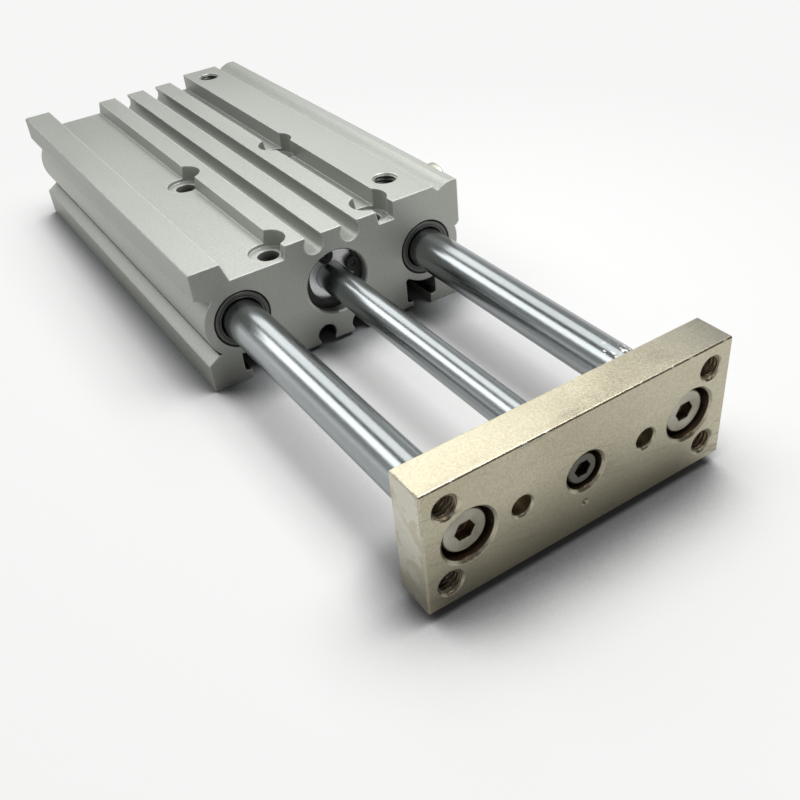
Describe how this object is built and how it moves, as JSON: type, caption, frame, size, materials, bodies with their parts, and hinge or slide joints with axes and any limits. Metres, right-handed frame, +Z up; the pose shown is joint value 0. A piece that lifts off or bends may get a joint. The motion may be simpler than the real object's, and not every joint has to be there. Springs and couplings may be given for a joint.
{
  "type": "guided pneumatic cylinder",
  "caption": "Compact pneumatic cylinder with a piston rod between two guide rods, which carry a drilled end plate out of a flat slotted aluminium body.",
  "frame": {"origin": "middle of the body's front end, on the plane of the feet", "axes": "X to the right seen from the end plate's side, +Y from the front to the rear, +Z up; the rods travel along -Y"},
  "size_m": [0.0599, 0.1747, 0.0254],
  "materials": {
    "body_aluminium": "matt blasted and anodised",
    "cover_aluminium": "turned",
    "plate_nickel": "satin nickel plated steel",
    "rod_chrome": "ground and polished",
    "screw_steel": "plated",
    "bush_grey": "plain bearing metal",
    "ring_black": "black phosphated spring steel",
    "plug_brass": "nickel plated",
    "seal_rubber": "matt black",
    "magnet_dark": "matt",
    "wear_plastic": "matt"
  },
  "bodies": {
    "housing": {"cylinder_body": "body_aluminium", "guide_bush_front_left": "bush_grey", "guide_bush_front_right": "bush_grey", "guide_bush_inner_left": "bush_grey", "guide_bush_inner_right": "bush_grey", "rod_cover": "cover_aluminium", "rod_seal": "seal_rubber", "rod_cover_o_ring": "seal_rubber", "rod_cover_snap_ring": "ring_black", "head_cover": "cover_aluminium", "head_cover_o_ring": "seal_rubber", "head_cover_snap_ring": "ring_black", "side_plug_front": "plug_brass", "side_plug_rear": "plug_brass"},
    "slide": {"end_plate": "plate_nickel", "guide_rod_left": "rod_chrome", "guide_rod_right": "rod_chrome", "piston_rod": "rod_chrome", "piston": "cover_aluminium", "piston_seal": "seal_rubber", "piston_magnet": "magnet_dark", "piston_wear_ring": "wear_plastic", "piston_bumper_front": "seal_rubber", "piston_bumper_rear": "seal_rubber", "guide_rod_screws": "screw_steel", "piston_rod_screw": "screw_steel"}
  },
  "joints": [
    {"name": "plate_slide", "type": "slide", "parent": "housing", "child": "slide", "axis": [0, -1, 0], "range_m": [-0.05775, 0.01725]}
  ]
}
